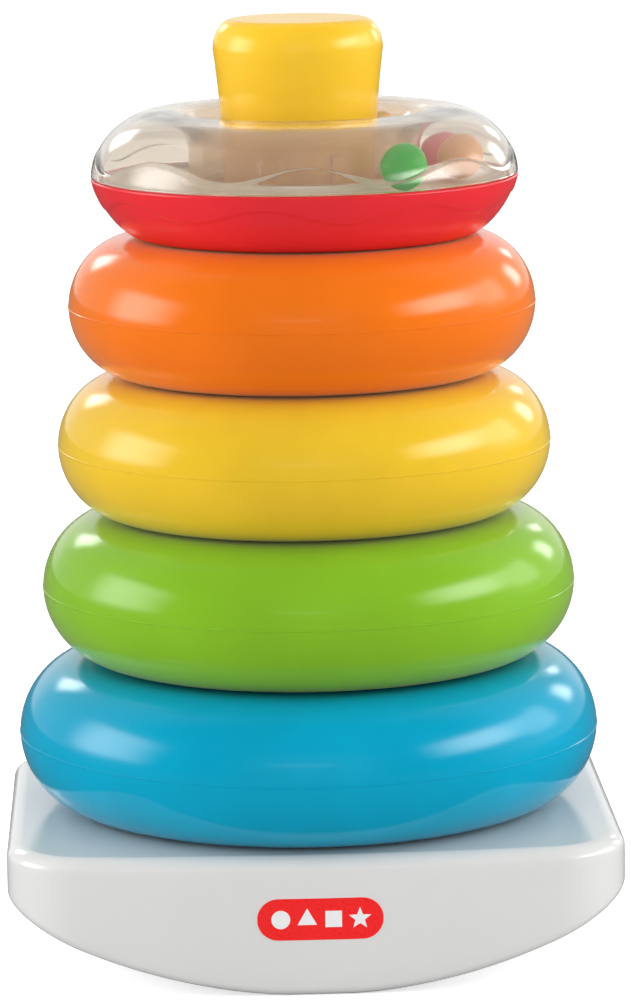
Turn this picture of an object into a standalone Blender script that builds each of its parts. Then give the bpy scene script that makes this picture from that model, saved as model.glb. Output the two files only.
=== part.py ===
"""Stacking ring toy: a white rocker base, a yellow post, four hollow rings and a clear-topped rattle ring.

All lengths are in metres. +Z is up along the post, the front of the base faces -Y, and the origin is on the
surface that the toy stands on, under the middle of the keel.
"""

import math

import bmesh
import bpy

# Running and seating gap between neighbouring pieces, and how far a cutter runs past a face.
GAP = 0.0003
CUT_REACH = 0.0020

# Edges that bend more than this are shaded sharp.
SHARP_ANGLE = math.radians(35)

# Base: a rounded plan with bowed front and back edges, and an underside curved about the Y axis.
BASE_HALF_WIDTH = 0.0665
BASE_HALF_DEPTH = 0.0565
BASE_BOW = 0.0025
BASE_CORNER_R = 0.018
BASE_WALL = 0.0025
DECK_Z = 0.030
DECK_EDGE_R = 0.0028
BOTTOM_EDGE_R = 0.0020
ROCKER_R = 0.131
KEEL_HALF_WIDTH = 0.0085
PAN_THICKNESS = 0.0022
CORNER_STEPS = 6
BOW_STEPS = 6
DECK_EDGE_STEPS = 4
BOTTOM_EDGE_STEPS = 3

# Post: slender at a waist near the top of the stack, flaring to a rounded head.
POST_TOP_Z = 0.2027
POST_HEAD_Z = 0.1962
POST_WAIST_Z = 0.164
POST_FOOT_Z = 0.0147
POST_HEAD_R = 0.0185
POST_WAIST_R = 0.0164
POST_FOOT_R = 0.0194
POST_CROWN_R = 0.0142
POST_WALL = 0.0020
POST_FLANGE_R = 0.0315
POST_FLANGE_THICKNESS = 0.0020
POST_CROWN_STEPS = 4
POST_SECTION_HEIGHTS = (0.188, 0.180, 0.172, POST_WAIST_Z, 0.120, 0.075)

# Rings, from the base up: name, outer radius, thickness, how far right of the post it lies, colour.
HOLE_R = 0.022
RING_WALL = 0.0018
RINGS = (
    ("ring_blue", 0.0640, 0.0324, 0.0000, (0.000, 0.350, 0.604)),
    ("ring_green", 0.0587, 0.0315, 0.0005, (0.262, 0.546, 0.021)),
    ("ring_yellow", 0.0542, 0.0304, 0.0000, (0.791, 0.515, 0.026)),
    ("ring_orange", 0.0512, 0.0301, 0.0000, (0.871, 0.191, 0.013)),
)
RING_BULGE_SHARE = 0.90
RING_BULGE_POWER = 1.95
RING_HOLE_ROUND = 0.0050
TURN_STEPS = 32
VENT_HEIGHT = 0.0040

# Rattle ring: a red trough, a pale floor and a clear cover, with loose beads on the floor.
RATTLE_X = 0.0010
RATTLE_R = 0.0466
TROUGH_HEIGHT = 0.0130
TROUGH_BULGE = 0.0098
TROUGH_POWER = 1.5
TROUGH_WALL = 0.0020
TROUGH_HOLE_ROUND = 0.0030
TROUGH_FILLET = 0.0020
RIM_TAPER = 0.0003
COVER_R = 0.0465
COVER_HEIGHT = 0.0143
COVER_BULGE = 0.0158
COVER_POWER = 1.94
COVER_WALL = 0.0015
COLLAR_R = 0.0222
COVER_DIP_SHARE = 0.55
FLOOR_TOP_DEPTH = 0.0015
FLOOR_THICKNESS = 0.0015
LEDGE_DEPTH = 0.0033
LEDGE_WIDTH = 0.0009
BEAD_R = 0.0050
BEAD_TRACK_R = 0.0342
BEAD_ROWS = 7
BEAD_TURN_STEPS = 12

# Beads: name, angle from the front towards +X in degrees, colour.
BEADS = (
    ("bead_green", 36, (0.040, 0.520, 0.130)),
    ("bead_orange", 78, (0.830, 0.210, 0.030)),
    ("bead_pink", 114, (0.730, 0.080, 0.170)),
    ("bead_yellow", 148, (0.780, 0.500, 0.040)),
    ("bead_red", 176, (0.640, 0.020, 0.025)),
    ("bead_blue", 205, (0.006, 0.230, 0.560)),
)

# Nameplate let into the front wall: a pill shape with no lettering.
LABEL_HALF_WIDTH = 0.0135
LABEL_HALF_HEIGHT = 0.0045
LABEL_Z = 0.0168
LABEL_THICKNESS = 0.0005
LABEL_POCKET_DEPTH = 0.0008
LABEL_BLUNT_ANGLE = 12
LABEL_END_STEPS = 6

# Self-tapping screws, driven upwards from below.
SCREW_HEAD_R = 0.0031
SCREW_HEAD_HEIGHT = 0.0018
SCREW_SHANK_R = 0.0013
SCREW_TIP_R = 0.0005
SCREW_TIP_LENGTH = 0.0020
SCREW_CROWN_R = 0.0023
SCREW_RECESS_R = 0.0011
SCREW_RECESS_DEPTH = 0.0013
SCREW_PILOT_R = 0.0016
SCREW_CLEARANCE_R = 0.0019
SCREW_POCKET_R = 0.0036
PAN_SCREW_LENGTH = 0.0120
POST_SCREW_LENGTH = 0.0105
BOSS_R = 0.0042
BOSS_ROOT_Z = 0.0285
PILOT_TOP_Z = 0.0262
PAN_SCREW_X = 0.045
PAN_SCREW_Y = 0.036
PAN_BOSS_TOP_Z = 0.0140
PAN_BOSS_WALL = 0.0016
PAN_POCKET_TOP_Z = 0.0116
POST_SCREW_CIRCLE_R = 0.0270
POST_SCREW_ANGLES = (90, 210, 330)
HOLE_STEPS = 12
BOSS_STEPS = 16
POCKET_STEPS = 20
POST_HOLE_STEPS = 36

# Linear colours.
WHITE = (0.860, 0.860, 0.850)
RED = (0.730, 0.028, 0.035)
POST_YELLOW = (0.796, 0.475, 0.022)
LABEL_RED = (0.760, 0.010, 0.016)
PALE = (0.700, 0.690, 0.650)
CLEAR = (0.900, 0.890, 0.860)
ZINC = (0.560, 0.570, 0.580)


# ---------------------------------------------------------------- profiles


def superellipse_quarter(width, height, power, steps):
    """Points from (width, 0) to (0, height) along |x/w|^power + |y/h|^power = 1."""
    points = []
    for k in range(steps + 1):
        angle = 0.5 * math.pi * k / steps
        x = width * math.cos(angle) ** (2 / power)
        y = height * math.sin(angle) ** (2 / power)
        points.append((x, y))
    return points


def ring_profile(outer_r, half_height, inset, bulge_steps, hole_steps):
    """Closed section of a blown ring, anticlockwise, drawn inset from its outer skin."""
    h = half_height - inset
    bulge = RING_BULGE_SHARE * half_height - inset
    shoulder_r = outer_r - RING_BULGE_SHARE * half_height
    rounding = RING_HOLE_ROUND - inset
    hole_r = HOLE_R + inset
    quarter = superellipse_quarter(bulge, h, RING_BULGE_POWER, bulge_steps)
    turn = superellipse_quarter(rounding, rounding, 2.0, hole_steps)
    hole_turn = [(hole_r + rounding - x, h - rounding + z) for x, z in turn]
    lower = [(hole_r, -VENT_HEIGHT / 2)]
    lower += [(r, -z) for r, z in hole_turn]
    lower += [(shoulder_r + x, -z) for x, z in reversed(quarter)]
    upper = [(r, -z) for r, z in reversed(lower[:-1])]
    return lower + upper


def post_radius(z):
    """Outer radius of the post between its foot and its head."""
    if z < POST_WAIST_Z:
        share = (POST_WAIST_Z - z) / (POST_WAIST_Z - POST_FOOT_Z)
        return POST_WAIST_R + (POST_FOOT_R - POST_WAIST_R) * share
    share = (z - POST_WAIST_Z) / (POST_HEAD_Z - POST_WAIST_Z)
    return POST_WAIST_R + (POST_HEAD_R - POST_WAIST_R) * share**2


def post_profile():
    """Open section from the axis at the top, down the outside, round the flange and up the inside."""
    crown_r = POST_HEAD_R - POST_CROWN_R
    crown = superellipse_quarter(crown_r, POST_TOP_Z - POST_HEAD_Z, 2.0, POST_CROWN_STEPS)
    profile = [(0, POST_TOP_Z)]
    profile += [(POST_CROWN_R + x, POST_HEAD_Z + z) for x, z in reversed(crown)]
    profile += [(post_radius(z), z) for z in POST_SECTION_HEIGHTS]
    flange_top_z = POST_FOOT_Z + POST_FLANGE_THICKNESS
    profile.append((post_radius(flange_top_z), flange_top_z))
    profile.append((POST_FLANGE_R, flange_top_z))
    profile.append((POST_FLANGE_R, POST_FOOT_Z))
    profile.append((POST_FOOT_R - POST_WALL, POST_FOOT_Z))
    profile += [(post_radius(z) - POST_WALL, z) for z in reversed(POST_SECTION_HEIGHTS)]
    profile.append((POST_HEAD_R - POST_WALL, POST_HEAD_Z))
    profile.append((POST_CROWN_R, POST_TOP_Z - POST_WALL))
    profile.append((0, POST_TOP_Z - POST_WALL))
    return profile


def trough_profile():
    """Closed section of the red trough, with z from the seam: outer wall, flat bottom, hole wall, ledge."""
    shoulder_r = RATTLE_R - TROUGH_BULGE
    inner_width = TROUGH_BULGE - TROUGH_WALL
    inner_height = TROUGH_HEIGHT - TROUGH_WALL
    outer = superellipse_quarter(TROUGH_BULGE, TROUGH_HEIGHT, TROUGH_POWER, 6)
    inner = superellipse_quarter(inner_width, inner_height, TROUGH_POWER, 5)
    rim_r = RATTLE_R - TROUGH_WALL
    taper_r = rim_r - RIM_TAPER
    hole_inner_r = HOLE_R + TROUGH_WALL
    ledge_r = hole_inner_r + LEDGE_WIDTH
    chamfer = 0.3 * TROUGH_HOLE_ROUND
    profile = [(HOLE_R, TROUGH_HOLE_ROUND - TROUGH_HEIGHT)]
    profile.append((HOLE_R + chamfer, chamfer - TROUGH_HEIGHT))
    profile.append((HOLE_R + TROUGH_HOLE_ROUND, -TROUGH_HEIGHT))
    profile += [(shoulder_r + x, -z) for x, z in reversed(outer[1:])]
    profile.append((RATTLE_R, -GAP / 2))
    profile.append((rim_r, -GAP / 2))
    profile.append((taper_r, -LEDGE_DEPTH))
    profile.append((taper_r - LEDGE_WIDTH, -LEDGE_DEPTH))
    profile += [(shoulder_r + x, -z) for x, z in inner[2:]]
    profile.append((ledge_r + TROUGH_FILLET, -inner_height))
    profile.append((ledge_r, TROUGH_FILLET - inner_height))
    profile.append((ledge_r, -LEDGE_DEPTH))
    profile.append((hole_inner_r, -LEDGE_DEPTH))
    profile.append((hole_inner_r, -GAP / 2))
    profile.append((HOLE_R, -GAP / 2))
    return profile


def cover_profile():
    """Closed section of the clear cover, with z from the seam: a dome that dips to a collar at the hole."""
    crest_r = COVER_R - COVER_BULGE
    dip = crest_r - COLLAR_R
    drop = COVER_DIP_SHARE * COVER_HEIGHT
    outside = []
    inside = []
    for inset, skin in ((0, outside), (COVER_WALL, inside)):
        width = COVER_BULGE - inset
        dome = superellipse_quarter(width, COVER_HEIGHT - inset, COVER_POWER, 7)
        roll = superellipse_quarter(dip - inset, drop - inset, 2.0, 4)
        skin.append((COVER_R - inset, GAP / 2))
        skin += [(crest_r + x, z) for x, z in dome[1:]]
        skin += [(crest_r - x, COVER_HEIGHT - drop + z) for x, z in reversed(roll[:-1])]
        skin.append((COLLAR_R + inset, GAP / 2))
    return outside + inside[::-1]


# ---------------------------------------------------------------- mesh builders


def lathe(shape, profile, steps, closed, skipped=()):
    """Turns (radius, z) points about Z into quads; a point at radius 0 becomes one vertex."""
    rows = []
    for r, z in profile:
        if r == 0:
            rows.append([shape.verts.new((0, 0, z))] * steps)
            continue
        row = []
        for step in range(steps):
            angle = 2 * math.pi * step / steps
            row.append(shape.verts.new((r * math.cos(angle), r * math.sin(angle), z)))
        rows.append(row)
    following = rows[1:] + rows[:1] if closed else rows[1:]
    for index, (low, high) in enumerate(zip(rows, following)):
        for step in range(steps):
            if (index, step) in skipped:
                continue
            after = (step + 1) % steps
            corners = dict.fromkeys((low[step], low[after], high[after], high[step]))
            shape.faces.new(corners)
    return rows


def stack(shape, loops):
    """Skins a list of equal-length point loops and closes both ends."""
    rows = [[shape.verts.new(point) for point in loop] for loop in loops]
    for low, high in zip(rows, rows[1:]):
        for k, _ in enumerate(low):
            after = (k + 1) % len(low)
            shape.faces.new((low[k], low[after], high[after], high[k]))
    shape.faces.new(reversed(rows[0]))
    shape.faces.new(rows[-1])


def cylinder(shape, x, y, radius, low_z, high_z, steps=BOSS_STEPS):
    """Adds an upright closed cylinder to a bmesh."""
    angles = [2 * math.pi * k / steps for k in range(steps)]
    circle = [(x + radius * math.cos(a), y + radius * math.sin(a)) for a in angles]
    stack(shape, [[(px, py, z) for px, py in circle] for z in (low_z, high_z)])


def finish(name, shape, material, parent=None, location=(0, 0, 0)):
    """Turns a bmesh into a smooth-shaded object with outward faces."""
    bmesh.ops.recalc_face_normals(shape, faces=shape.faces)
    mesh = bpy.data.meshes.new(name)
    shape.to_mesh(mesh)
    shape.free()
    piece = bpy.data.objects.new(name, mesh)
    bpy.context.scene.collection.objects.link(piece)
    piece.location = location
    if parent is not None:
        piece.parent = parent
    if material is not None:
        mesh.materials.append(material)
    mesh.shade_smooth()
    mesh.set_sharp_from_angle(angle=SHARP_ANGLE)
    return piece


def combine(piece, tool_shape, operation):
    """Applies an exact Boolean of a tool bmesh to a piece and discards the tool."""
    tool = finish("tool", tool_shape, None)
    modifier = piece.modifiers.new("combine", "BOOLEAN")
    modifier.operation = operation
    modifier.object = tool
    modifier.solver = "EXACT"
    bpy.context.view_layer.update()
    evaluated = piece.evaluated_get(bpy.context.evaluated_depsgraph_get())
    result = bpy.data.meshes.new_from_object(evaluated)
    piece.modifiers.clear()
    old = piece.data
    name = old.name
    piece.data = result
    bpy.data.meshes.remove(old)
    result.name = name
    bpy.data.objects.remove(tool)
    result.set_sharp_from_angle(angle=SHARP_ANGLE)


def plastic(name, colour, roughness, alpha=1.0):
    """A moulded plastic with the given linear colour."""
    material = bpy.data.materials.new(name)
    material.use_nodes = True
    shader = material.node_tree.nodes["Principled BSDF"]
    shader.inputs["Base Color"].default_value = (*colour, 1)
    shader.inputs["Roughness"].default_value = roughness
    shader.inputs["Metallic"].default_value = 0
    shader.inputs["Alpha"].default_value = alpha
    material.diffuse_color = (*colour, alpha)
    return material


def steel(name):
    """Zinc-plated screw steel."""
    material = plastic(name, ZINC, 0.30)
    shader = material.node_tree.nodes["Principled BSDF"]
    shader.inputs["Metallic"].default_value = 1
    return material


# ---------------------------------------------------------------- base


def rocker_z(x):
    """Height of the curved underside at x: flat under the keel, then an arc about the Y axis."""
    reach = max(abs(x), KEEL_HALF_WIDTH)
    keel = math.sqrt(ROCKER_R**2 - KEEL_HALF_WIDTH**2)
    return keel - math.sqrt(ROCKER_R**2 - reach**2)


def bow_radius():
    """Radius of the bowed edge that is tangent to the corner arcs."""
    corner_x = BASE_HALF_WIDTH - BASE_CORNER_R
    reach = BASE_CORNER_R + BASE_BOW
    return (corner_x**2 + reach**2 - BASE_CORNER_R**2) / (2 * BASE_BOW)


def front_y(x, inset=0.0):
    """The front face's y at x, drawn inset from the outer surface."""
    radius = bow_radius()
    centre_y = radius - BASE_HALF_DEPTH - BASE_BOW
    return centre_y - math.sqrt((radius - inset) ** 2 - x**2)


def base_outline(inset):
    """Anticlockwise plan of the base, inset from its outer surface, from the right side round."""
    corner_x = BASE_HALF_WIDTH - BASE_CORNER_R
    corner_y = BASE_HALF_DEPTH - BASE_CORNER_R
    bow_r = bow_radius()
    bow_centre = bow_r - BASE_HALF_DEPTH - BASE_BOW
    join = math.atan2(corner_x, bow_centre + corner_y)
    quarter = []
    for k in range(CORNER_STEPS + 1):
        angle = (0.5 * math.pi - join) * k / CORNER_STEPS
        r = BASE_CORNER_R - inset
        quarter.append((corner_x + r * math.cos(angle), corner_y + r * math.sin(angle)))
    for k in range(1, BOW_STEPS):
        angle = join * (1 - k / BOW_STEPS)
        r = bow_r - inset
        quarter.append((r * math.sin(angle), r * math.cos(angle) - bow_centre))
    top = (0, bow_r - inset - bow_centre)
    back = quarter + [top] + [(-x, y) for x, y in reversed(quarter)]
    return back + [(-x, -y) for x, y in back]


def screw_places():
    """Where the four bottom screws stand, as (x, y)."""
    return [(sx * PAN_SCREW_X, sy * PAN_SCREW_Y) for sy in (-1, 1) for sx in (-1, 1)]


def post_screw_places():
    """Where the three post screws stand, as (x, y)."""
    places = []
    for degrees in POST_SCREW_ANGLES:
        angle = math.radians(degrees)
        x = POST_SCREW_CIRCLE_R * math.cos(angle)
        places.append((x, POST_SCREW_CIRCLE_R * math.sin(angle)))
    return places


def label_solid(shape, margin, front, back):
    """A pill-shaped plate that follows the bowed front, between two depths from its surface."""
    half_height = LABEL_HALF_HEIGHT + margin
    end_x = LABEL_HALF_WIDTH - LABEL_HALF_HEIGHT
    loops = []
    blunt = math.radians(LABEL_BLUNT_ANGLE)
    share = (0.5 * math.pi - blunt) / LABEL_END_STEPS
    turns = [blunt + share * k for k in range(LABEL_END_STEPS + 1)]
    left = [(-end_x - half_height * math.cos(t), half_height * math.sin(t)) for t in turns]
    columns = left + [(-x, tall) for x, tall in reversed(left)]
    for x, tall in columns:
        near = front_y(x) + front
        far = front_y(x) + back
        low = LABEL_Z - tall
        high = LABEL_Z + tall
        loops.append([(x, near, low), (x, far, low), (x, far, high), (x, near, high)])
    stack(shape, loops)


def build_base_shell(material):
    """The white top and walls, open below, with screw bosses under the deck."""
    ceiling_z = DECK_Z - BASE_WALL
    shape = bmesh.new()
    inner = base_outline(BASE_WALL)
    loops = [[(x, y, ceiling_z) for x, y in inner]]
    loops.append([(x, y, rocker_z(x)) for x, y in inner])
    for k in range(BOTTOM_EDGE_STEPS + 1):
        angle = 0.5 * math.pi * k / BOTTOM_EDGE_STEPS
        inset = BOTTOM_EDGE_R * (1 - math.sin(angle))
        rise = BOTTOM_EDGE_R * (1 - math.cos(angle))
        loops.append([(x, y, rocker_z(x) + rise) for x, y in base_outline(inset)])
    for k in range(DECK_EDGE_STEPS + 1):
        angle = 0.5 * math.pi * k / DECK_EDGE_STEPS
        inset = DECK_EDGE_R * (1 - math.cos(angle))
        z = DECK_Z - DECK_EDGE_R * (1 - math.sin(angle))
        loops.append([(x, y, z) for x, y in base_outline(inset)])
    stack(shape, loops)
    shell = finish("base_shell", shape, material)

    bosses = bmesh.new()
    for x, y in screw_places():
        cylinder(bosses, x, y, BOSS_R, PAN_BOSS_TOP_Z + GAP, BOSS_ROOT_Z)
    boss_foot_z = POST_FOOT_Z + POST_FLANGE_THICKNESS + GAP
    for x, y in post_screw_places():
        cylinder(bosses, x, y, BOSS_R, boss_foot_z, BOSS_ROOT_Z)
    combine(shell, bosses, "UNION")

    cuts = bmesh.new()
    post_hole_r = post_radius(DECK_Z) + 2 * GAP
    low_z = ceiling_z - CUT_REACH
    cylinder(cuts, 0, 0, post_hole_r, low_z, DECK_Z + CUT_REACH, POST_HOLE_STEPS)
    pilot_low_z = PAN_BOSS_TOP_Z - CUT_REACH
    for x, y in screw_places() + post_screw_places():
        cylinder(cuts, x, y, SCREW_PILOT_R, pilot_low_z, PILOT_TOP_Z, HOLE_STEPS)
    label_solid(cuts, GAP, -CUT_REACH, LABEL_POCKET_DEPTH)
    combine(shell, cuts, "DIFFERENCE")
    return shell


def build_base_bottom(material):
    """The curved pan that closes the underside, flush with the rim, with four screw pockets."""
    outline = base_outline(BASE_WALL + GAP)
    quarter = outline[: CORNER_STEPS + BOW_STEPS]
    reach = {round(x, 7): y for x, y in quarter if x > 0}
    reach[KEEL_HALF_WIDTH] = -front_y(KEEL_HALF_WIDTH, BASE_WALL + GAP)
    rights = sorted(reach)
    columns = [(-x, reach[x]) for x in reversed(rights)] + [(x, reach[x]) for x in rights]
    shape = bmesh.new()
    loops = []
    for x, y in columns:
        low = rocker_z(x)
        high = low + PAN_THICKNESS
        loops.append([(x, -y, low), (x, y, low), (x, y, high), (x, -y, high)])
    stack(shape, loops)
    pan = finish("base_bottom", shape, material)

    bosses = bmesh.new()
    for x, y in screw_places():
        boss_r = SCREW_POCKET_R + PAN_BOSS_WALL
        cylinder(bosses, x, y, boss_r, 0, PAN_BOSS_TOP_Z, POCKET_STEPS)
    for vert in bosses.verts:
        if vert.co.z < PAN_BOSS_TOP_Z / 2:
            vert.co.z = rocker_z(vert.co.x) + PAN_THICKNESS / 2
    combine(pan, bosses, "UNION")

    cuts = bmesh.new()
    for x, y in screw_places():
        cylinder(cuts, x, y, SCREW_POCKET_R, -CUT_REACH, PAN_POCKET_TOP_Z, POCKET_STEPS)
    combine(pan, cuts, "DIFFERENCE")
    holes = bmesh.new()
    high_z = PAN_BOSS_TOP_Z + CUT_REACH
    for x, y in screw_places():
        cylinder(holes, x, y, SCREW_CLEARANCE_R, -CUT_REACH, high_z, HOLE_STEPS)
    combine(pan, holes, "DIFFERENCE")
    return pan


def build_screw(name, material, length, place, seat_z):
    """A pan-head screw driven upwards, its head bearing face at seat_z."""
    shape = bmesh.new()
    profile = [
        (0, length),
        (SCREW_TIP_R, length),
        (SCREW_SHANK_R, length - SCREW_TIP_LENGTH),
        (SCREW_SHANK_R, 0),
        (SCREW_HEAD_R, 0),
        (SCREW_HEAD_R, -SCREW_HEAD_HEIGHT / 2),
        (SCREW_CROWN_R, -SCREW_HEAD_HEIGHT),
        (SCREW_RECESS_R, -SCREW_HEAD_HEIGHT),
        (0, SCREW_RECESS_DEPTH - SCREW_HEAD_HEIGHT),
    ]
    lathe(shape, profile, HOLE_STEPS, closed=False)
    return finish(name, shape, material, location=(*place, seat_z))


# ---------------------------------------------------------------- post and rings


def build_post(material):
    """The hollow yellow post with a screwed flange at its foot."""
    shape = bmesh.new()
    lathe(shape, post_profile(), TURN_STEPS, closed=False)
    post = finish("post", shape, material)
    holes = bmesh.new()
    low_z = POST_FOOT_Z - CUT_REACH
    high_z = POST_FOOT_Z + POST_FLANGE_THICKNESS + CUT_REACH
    for x, y in post_screw_places():
        cylinder(holes, x, y, SCREW_CLEARANCE_R, low_z, high_z, HOLE_STEPS)
    combine(post, holes, "DIFFERENCE")
    return post


def build_ring(name, outer_r, thickness, x, centre_z, material):
    """A one-piece blown ring: an outer and an inner skin joined by a vent in the hole wall."""
    shape = bmesh.new()
    outer = ring_profile(outer_r, thickness / 2, 0, 5, 2)
    inner = ring_profile(outer_r, thickness / 2, RING_WALL, 3, 1)
    vent_step = TURN_STEPS // 4
    outer_rows = lathe(shape, outer, TURN_STEPS, True, {(len(outer) - 1, vent_step)})
    inner_rows = lathe(shape, inner, TURN_STEPS, True, {(len(inner) - 1, vent_step)})
    mouths = []
    for rows in (outer_rows, inner_rows):
        low = rows[0]
        high = rows[-1]
        after = vent_step + 1
        mouths.append([low[vent_step], low[after], high[after], high[vent_step]])
    for k in range(4):
        after = (k + 1) % 4
        shape.faces.new((mouths[0][k], mouths[0][after], mouths[1][after], mouths[1][k]))
    return finish(name, shape, material, location=(x, 0, centre_z))


def build_rattle_ring(seam_z, red, pale, clear):
    """The red trough, the pale floor that closes it and the clear cover on top."""
    trough = bmesh.new()
    lathe(trough, trough_profile(), TURN_STEPS, closed=True)
    finish("rattle_lower_shell", trough, red, location=(RATTLE_X, 0, seam_z))

    floor = bmesh.new()
    low_z = -FLOOR_TOP_DEPTH - FLOOR_THICKNESS
    inner_r = HOLE_R + TROUGH_WALL + GAP
    outer_r = RATTLE_R - TROUGH_WALL - 2 * GAP
    section = [
        (inner_r, low_z),
        (outer_r, low_z),
        (outer_r, -FLOOR_TOP_DEPTH),
        (inner_r, -FLOOR_TOP_DEPTH),
    ]
    lathe(floor, section, TURN_STEPS, closed=True)
    finish("rattle_floor", floor, pale, location=(RATTLE_X, 0, seam_z))

    cover = bmesh.new()
    lathe(cover, cover_profile(), TURN_STEPS, closed=True)
    finish("rattle_cover", cover, clear, location=(RATTLE_X, 0, seam_z))


def build_bead(name, degrees, axis, material):
    """A loose ball on the rattle floor; its parent stands on the ring's axis."""
    shape = bmesh.new()
    turns = [math.pi * k / BEAD_ROWS for k in range(1, BEAD_ROWS)]
    profile = [(0, BEAD_R)]
    profile += [(BEAD_R * math.sin(t), BEAD_R * math.cos(t)) for t in turns]
    profile.append((0, -BEAD_R))
    lathe(shape, profile, BEAD_TURN_STEPS, closed=False)
    angle = math.radians(degrees)
    x = BEAD_TRACK_R * math.sin(angle)
    y = -BEAD_TRACK_R * math.cos(angle)
    z = BEAD_R + GAP - FLOOR_TOP_DEPTH
    return finish(name, shape, material, parent=axis, location=(x, y, z))


# ---------------------------------------------------------------- assembly


def main():
    for old in list(bpy.data.objects):
        bpy.data.objects.remove(old, do_unlink=True)

    white = plastic("white_plastic", WHITE, 0.25)
    red = plastic("red_plastic", RED, 0.22)
    zinc = steel("zinc_steel")

    build_base_shell(white)
    build_base_bottom(plastic("white_bottom_plastic", WHITE, 0.35))
    label = bmesh.new()
    label_solid(label, 0, 0, LABEL_THICKNESS)
    finish("front_label", label, plastic("label_print", LABEL_RED, 0.30))
    build_post(plastic("yellow_post_plastic", POST_YELLOW, 0.25))
    for number, place in enumerate(screw_places(), start=1):
        seat_z = PAN_POCKET_TOP_Z - GAP
        build_screw(f"base_screw_{number}", zinc, PAN_SCREW_LENGTH, place, seat_z)
    for number, place in enumerate(post_screw_places(), start=1):
        seat_z = POST_FOOT_Z - GAP
        build_screw(f"post_screw_{number}", zinc, POST_SCREW_LENGTH, place, seat_z)

    low_z = DECK_Z + GAP
    for name, outer_r, thickness, x, colour in RINGS:
        material = plastic(name + "_plastic", colour, 0.20)
        build_ring(name, outer_r, thickness, x, low_z + thickness / 2, material)
        low_z += thickness + GAP

    seam_z = low_z + TROUGH_HEIGHT
    pale = plastic("pale_floor_plastic", PALE, 0.30)
    clear = plastic("clear_plastic", CLEAR, 0.05, alpha=0.35)
    build_rattle_ring(seam_z, red, pale, clear)
    axis = bpy.data.objects.new("rattle_axis", None)
    bpy.context.scene.collection.objects.link(axis)
    axis.location = (RATTLE_X, 0, seam_z)
    for name, degrees, colour in BEADS:
        build_bead(name, degrees, axis, plastic(name + "_plastic", colour, 0.30))


main()
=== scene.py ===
"""Looks of the stacking ring toy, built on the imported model's frame. Metres, +Z up, front towards -Y."""

import math

import bmesh
import bpy
from mathutils import Matrix, Vector


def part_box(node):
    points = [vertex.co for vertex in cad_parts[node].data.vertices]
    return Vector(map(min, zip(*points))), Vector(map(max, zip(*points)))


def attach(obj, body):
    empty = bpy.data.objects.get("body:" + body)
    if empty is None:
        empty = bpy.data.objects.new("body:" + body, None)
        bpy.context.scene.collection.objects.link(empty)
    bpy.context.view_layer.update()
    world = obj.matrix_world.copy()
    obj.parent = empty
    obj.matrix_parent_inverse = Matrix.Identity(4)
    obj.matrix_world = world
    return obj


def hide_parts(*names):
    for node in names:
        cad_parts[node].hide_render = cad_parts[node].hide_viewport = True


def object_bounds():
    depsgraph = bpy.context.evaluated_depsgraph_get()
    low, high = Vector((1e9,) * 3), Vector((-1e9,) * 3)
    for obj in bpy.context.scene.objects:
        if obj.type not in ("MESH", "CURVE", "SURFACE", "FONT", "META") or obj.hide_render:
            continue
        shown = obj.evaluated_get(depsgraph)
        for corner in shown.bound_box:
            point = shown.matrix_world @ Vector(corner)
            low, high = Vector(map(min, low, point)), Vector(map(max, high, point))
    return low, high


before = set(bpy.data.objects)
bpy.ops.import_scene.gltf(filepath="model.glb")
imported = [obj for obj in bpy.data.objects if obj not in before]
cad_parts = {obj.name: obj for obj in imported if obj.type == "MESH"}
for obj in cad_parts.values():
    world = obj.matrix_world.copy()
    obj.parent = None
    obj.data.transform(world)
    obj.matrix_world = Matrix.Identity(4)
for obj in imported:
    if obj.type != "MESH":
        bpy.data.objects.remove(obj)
cad_low, cad_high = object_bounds()

MM = 0.001
QUARTER_TURN = 0.5 * math.pi
FULL_TURN = 2 * math.pi

# Camera: a long lens a little over a metre in front of the toy and above it, looking slightly down.
CAMERA_DISTANCE = 1.1
CAMERA_HEIGHT = 0.286
CAMERA_SIDE = 0.0023
CAMERA_YAW = math.radians(-1.9)
CAMERA_PITCH = math.radians(9.77)
CAMERA_ROLL = math.radians(-0.9)
CAMERA_LENS = 182.4

# Meshes: the steps round each turned piece, and the angle from which an edge stays sharp.
TURNS = 192
TROUGH_TURNS = 256
COVER_TURNS = 320
BEAD_TURNS = 64
SHARP_ANGLE = math.radians(40)

# Shapes that the frame's boxes don't give. Each repeats the driving dimension of its CAD node, or is a finer
# detail than the CAD has.
HOLE_R = 22.0 * MM
RING_BULGE_SHARE = 0.90
RING_BULGE_POWER = 1.95
RING_HOLE_ROUND = 5.0 * MM
RIDGE_HEIGHT = 0.12 * MM
RIDGE_HALF_WIDTH = 0.12 * MM
RIDGE_FOOT = 0.25 * MM
RIDGE_STEP = 0.06 * MM

BASE_BOW = 2.5 * MM
BASE_CORNER_R = 18.0 * MM
BASE_WALL = 2.5 * MM
DECK_EDGE_R = 2.8 * MM
DECK_ROLL_WIDTH = 1.15 * DECK_EDGE_R
DECK_CREASE = math.radians(20)
DECK_RIM = 0.4 * MM
BOTTOM_EDGE_R = 2.0 * MM
ROCKER_R = 131.0 * MM
KEEL_HALF_WIDTH = 8.5 * MM
PAN_THICKNESS = 2.2 * MM
PAN_MARGIN = 0.3 * MM
POCKET_R = 3.6 * MM
POCKET_DEPTH = 20.0 * MM
POCKET_DROP = 11.4 * MM
CORNER_STEPS = 14
BOW_STEPS = 14

POST_HEAD_Z = 196.2 * MM
POST_WAIST_Z = 164.0 * MM
POST_HEAD_R = 18.5 * MM
POST_WAIST_R = 16.4 * MM
POST_FOOT_R = 19.4 * MM
POST_HOLE_GAP = 0.5 * MM
POST_CROWN_R = 14.2 * MM
POST_WALL = 2.0 * MM
POST_FLANGE_THICKNESS = 2.0 * MM
POST_STEPS = 60

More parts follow.
